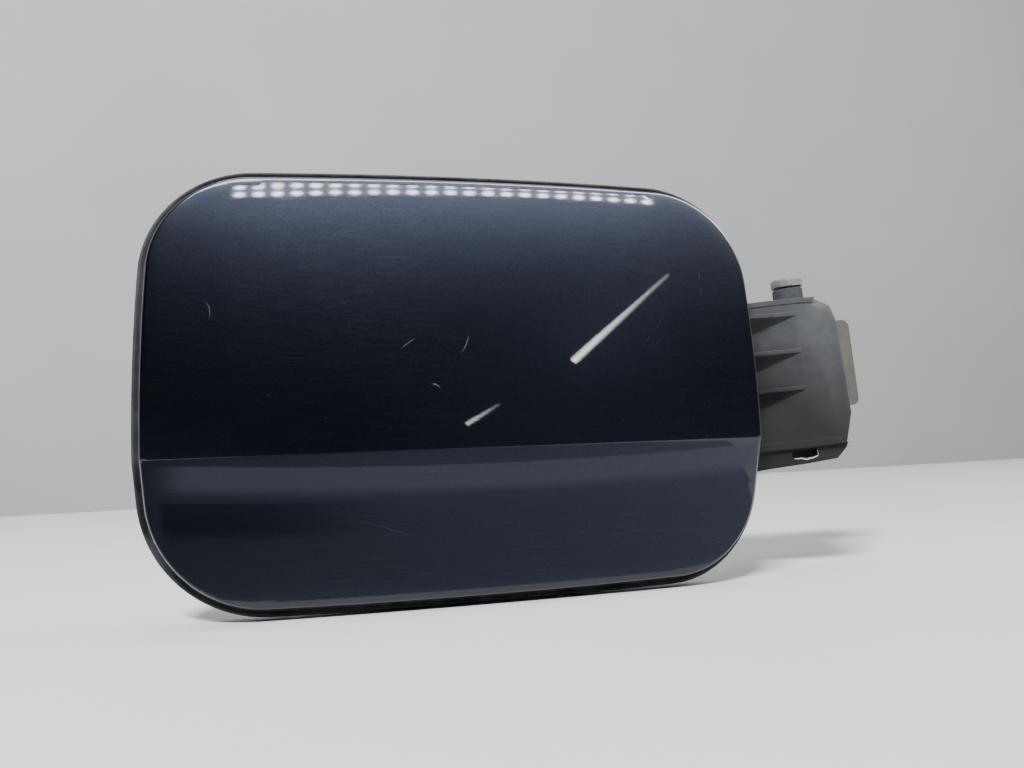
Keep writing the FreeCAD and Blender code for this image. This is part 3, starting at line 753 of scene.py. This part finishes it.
def ribbon(name, line, width, proud):
    """Thin raised mark along a line of (u, w) points on the arm's lip."""
    vertices = []
    for k, (u, w) in enumerate(line):
        half = width * (0.25 if k in (0, len(line) - 1) else 0.5)
        for side, lift in ((-half, 0.0), (0.0, proud), (half, 0.0)):
            vertices.append(on_hinge(u, lip_face(u) - lift, w + side))
    return new_object(name, vertices, strip_faces(len(line)))


def build_scuff(name, pixels):
    """Thin mark on the paint from a first to a last pixel of the photo, bent towards a middle one."""
    start, bend, end = (on_skin(*pixel) for pixel in pixels)
    line = []
    for k in range(SCUFF_STEPS + 1):
        t = k / SCUFF_STEPS
        line.append(start.lerp(bend, t).lerp(bend.lerp(end, t), t))
    rows = []
    for k, spot in enumerate(line):
        half = SCUFF_WIDTH / 2 * math.sin(math.pi * (k + 0.5) / len(line))
        way = (line[min(k + 1, SCUFF_STEPS)] - line[max(k - 1, 0)]).normalized()
        out = face_normal(spot.x, spot.z)
        side = way.cross(out) * half
        rows += [spot + out * SCUFF_PROUD + side, spot + out * SCUFF_PROUD - side]
    faces = [(2 * k, 2 * k + 1, 2 * k + 3, 2 * k + 2) for k in range(SCUFF_STEPS)]
    return new_object(name, rows, faces)


for number, pixels in enumerate(SCUFFS):
    scuff = build_scuff("scuff_%d" % number, pixels)
    scuff.data.materials.append(materials["scuffed_paint"])
    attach(scuff, "flap")

chip_points = []
for angle, lift in CHIP:
    across, front = math.sin(math.radians(angle)), -math.cos(math.radians(angle))
    for share, height in ((CHIP_SUNK, lift - CHIP_HALF), (CHIP_PROUD, lift), (CHIP_SUNK, lift + CHIP_HALF)):
        radius = HEAD_RADIUS * share
        chip_points.append(on_hinge(radius * across, radius * front, HEAD_LOW + height * MM))
chip = new_object("pin_head_chip", chip_points, strip_faces(len(CHIP)))
chip.data.materials.append(materials["stress_white"])
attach(chip, "bracket")

slot_width = SLOT_RIGHT - SLOT_LEFT
torn_edge = [(SLOT_LEFT + slot_width * share, SLOT_BOTTOM + height * MM) for share, height in TEAR]
mark = ribbon("slot_stress_mark", torn_edge, TEAR_WIDTH, TEAR_PROUD)
mark.data.materials.append(materials["stress_white"])
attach(mark, "flap")

spring = build_spring()
finish_piece(spring, "spring_steel")
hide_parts("torsion_spring")
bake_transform(spring)


def stage_material(name, colour, rough):
    """Plain pale surface with a faint unevenness."""
    s = Shader(name)
    s.set(Specular_IOR_Level=0.0)
    tone = s.ranged(s.noise(6.0, 4.0), 0.3, 0.7)
    s.feed("Base Color", s.mixed(tone, tuple(c * 0.94 for c in colour), colour))
    s.feed("Roughness", s.ranged(tone, 0.0, 1.0, rough - 0.06, rough + 0.06))
    s.feed("Normal", s.bump(s.noise(420.0, 4.0), 0.15, 0.2 * MM))
    return s.material


def quad(name, corners, material):
    """Flat four-cornered piece of the stage."""
    made = new_object(name, corners, [(0, 1, 2, 3)], smooth=False)
    made.data.materials.append(material)
    return made


def level_quad(name, left, right, front, back, z, material):
    """Level piece of the stage."""
    return quad(name, [Vector((left, front, z)), Vector((right, front, z)), Vector((right, back, z)),
                       Vector((left, back, z))], material)


floor_z = cad_low.z
level_quad("floor", -STAGE_REACH, STAGE_REACH, -STAGE_REACH, STAGE_REACH, floor_z,
           stage_material("floor", FLOOR_COLOUR, FLOOR_ROUGHNESS))
wall_side = Vector((math.cos(WALL_TURN), math.sin(WALL_TURN), 0)) * STAGE_REACH
wall_foot = Vector((FLAP_X, WALL_DISTANCE, floor_z))
wall_rise = Vector((0, 0, STAGE_REACH))
quad("wall", [wall_foot - wall_side, wall_foot + wall_side, wall_foot + wall_side + wall_rise,
              wall_foot - wall_side + wall_rise], stage_material("wall", WALL_COLOUR, WALL_ROUGHNESS))


def mirrored(px, py, distance=LIGHT_DISTANCE):
    """Place that the skin mirrors at a pixel of the photo."""
    spot = on_skin(px, py)
    normal = face_normal(spot.x, spot.z)
    way = pixel_ray(px, py).normalized()
    return spot + (way - normal * 2 * way.dot(normal)) * distance


def glow_material(name, strength, pattern, tint):
    """Lamp or card surface with a pattern: dots, fade, slope, gentle, band or patch."""
    material = bpy.data.materials.new(name)
    material.use_nodes = True
    nodes, links = material.node_tree.nodes, material.node_tree.links
    nodes.clear()

    def node(kind, *sources, **settings):
        made = nodes.new(kind)
        for key, value in settings.items():
            setattr(made, key, value)
        for socket, source in zip(made.inputs, sources):
            if isinstance(source, (int, float, tuple)):
                socket.default_value = source
            else:
                links.new(source, socket)
        return made

    def ramp(source, start, end, low, high, smooth=True):
        kind = "SMOOTHSTEP" if smooth else "LINEAR"
        return node("ShaderNodeMapRange", source, start, end, low, high, interpolation_type=kind).outputs[0]

    def times(a, b):
        return node("ShaderNodeMath", a, b, operation="MULTIPLY").outputs[0]

    uv = node("ShaderNodeUVMap").outputs[0]
    split = node("ShaderNodeSeparateXYZ", uv)
    length, width = split.outputs[0], split.outputs[1]
    if pattern == "dots":
        scaled = node("ShaderNodeVectorMath", uv, (LED_COLUMNS, LED_ROWS, 0.0), operation="MULTIPLY")
        part = node("ShaderNodeVectorMath", scaled.outputs[0], operation="FRACTION")
        apart = node("ShaderNodeVectorMath", part.outputs[0], (0.5, 0.5, 0.0), operation="DISTANCE")
        level = ramp(apart.outputs["Value"], 0.12, 0.42, 1.0, 0.05, smooth=False)
        cover = ramp(width, 0.0, 0.05, 0.6, 1.0, smooth=False)
    elif pattern == "fade":
        level = ramp(length, 0.0, 1.0, 1.0, 0.10, smooth=False)
        across = node("ShaderNodeMath", width, 0.5, operation="SUBTRACT")
        edge = node("ShaderNodeMath", across.outputs[0], operation="ABSOLUTE")
        cover = ramp(edge.outputs[0], 0.0, 0.5, 1.0, 0.0)
    elif pattern in ("slope", "gentle"):
        ends = (0.45, 1.45) if pattern == "slope" else (0.85, 1.15)
        level = ramp(length, 0.1, 0.9, *ends, smooth=False)
        cover = 1.0
    else:
        level = ramp(length, 0.0, 1.0, 0.9, 1.1, smooth=False)
        tail = 0.25 if pattern == "patch" else 0.9
        sides = times(ramp(length, 0.0, 0.06, 0.0, 1.0), ramp(length, tail, 1.0, 1.0, 0.0))
        cover = times(ramp(width, 0.0, 0.45, 0.0, 1.0), sides)
    glow = node("ShaderNodeEmission", tint + (1.0,))
    links.new(times(level, strength), glow.inputs["Strength"])
    clear = node("ShaderNodeBsdfTransparent")
    both = node("ShaderNodeMixShader", cover, clear.outputs[0], glow.outputs[0])
    node("ShaderNodeOutputMaterial", both.outputs[0])
    return material


def mirror_only(made):
    """Let a lamp or card show only as a mirror image, with its pattern from corner to corner."""
    layer = made.data.uv_layers.new(name="UVMap")
    for loop, uv in zip(layer.data, ((0, 0), (1, 0), (1, 1), (0, 1))):
        loop.uv = uv
    made.visible_camera = False
    made.visible_shadow = False
    made.visible_diffuse = False


def lamp_quad(name, pixels, strength, pattern, distance=LIGHT_DISTANCE, tint=WHITE):
    """Lamp or card whose mirror image in the skin has these corners in the photo."""
    corners = [mirrored(*pixel, distance) for pixel in pixels]
    mirror_only(quad(name, corners, glow_material(name, strength, pattern, tint)))


lamp_quad("lamp_rows", ROWS_PIXELS, ROWS_GLOW, "dots")
lamp_quad("lamp_tube", TUBE_PIXELS, TUBE_GLOW, "fade")
lamp_quad("lamp_spot", SPOT_PIXELS, SPOT_GLOW, "fade")
lamp_quad("haze_card", HAZE_PIXELS, HAZE_GLOW, "gentle", tint=HAZE_TINT)
lamp_quad("crease_card", BAND_PIXELS, BAND_GLOW, "band", CARD_DISTANCE, CARD_TINT)
mirror_only(level_quad("floor_card", CARD_LEFT, CARD_RIGHT, -STAGE_REACH, CARD_BACK, floor_z + CARD_LIFT,
                       glow_material("floor_card", FLOOR_GLOW, "slope", CARD_TINT)))
lamp_quad("shade_card", SHADE_PIXELS, SHADE_GLOW, "patch", CARD_DISTANCE)


def soft_box(name, place, target, size, power, shown):
    """Large soft lamp that looks at a point."""
    light = bpy.data.lights.new(name, "AREA")
    light.shape = "RECTANGLE"
    light.size, light.size_y = size
    light.energy = power
    made = bpy.data.objects.new(name, light)
    bpy.context.scene.collection.objects.link(made)
    made.location = place
    made.rotation_mode = "QUATERNION"
    made.rotation_quaternion = (Vector(target) - Vector(place)).to_track_quat("-Z", "Y")
    made.visible_glossy = shown


for values in SOFT_BOXES:
    soft_box(*values)

world = bpy.data.worlds.new("room")
bpy.context.scene.world = world
world.use_nodes = True
background = world.node_tree.nodes["Background"]
sky = world.node_tree.nodes.new("ShaderNodeTexNoise")
sky.inputs["Scale"].default_value = ROOM_WAVES
shade = world.node_tree.nodes.new("ShaderNodeMapRange")
shade.inputs["To Min"].default_value, shade.inputs["To Max"].default_value = ROOM_LEVELS
world.node_tree.links.new(sky.outputs["Fac"], shade.inputs["Value"])
world.node_tree.links.new(shade.outputs[0], background.inputs["Strength"])
background.inputs["Color"].default_value = ROOM_COLOUR

camera_data = bpy.data.cameras.new("camera")
camera_data.sensor_width = SENSOR
camera_data.lens = FOCAL / PICTURE[0] * SENSOR
camera_data.clip_start = NEAR_CLIP
camera = bpy.data.objects.new("camera", camera_data)
bpy.context.scene.collection.objects.link(camera)
turn = Matrix((RIGHT, -DOWN, -FORWARD)).transposed().to_4x4()
camera.matrix_world = Matrix.Translation(CAMERA_PLACE) @ turn
bpy.context.scene.camera = camera
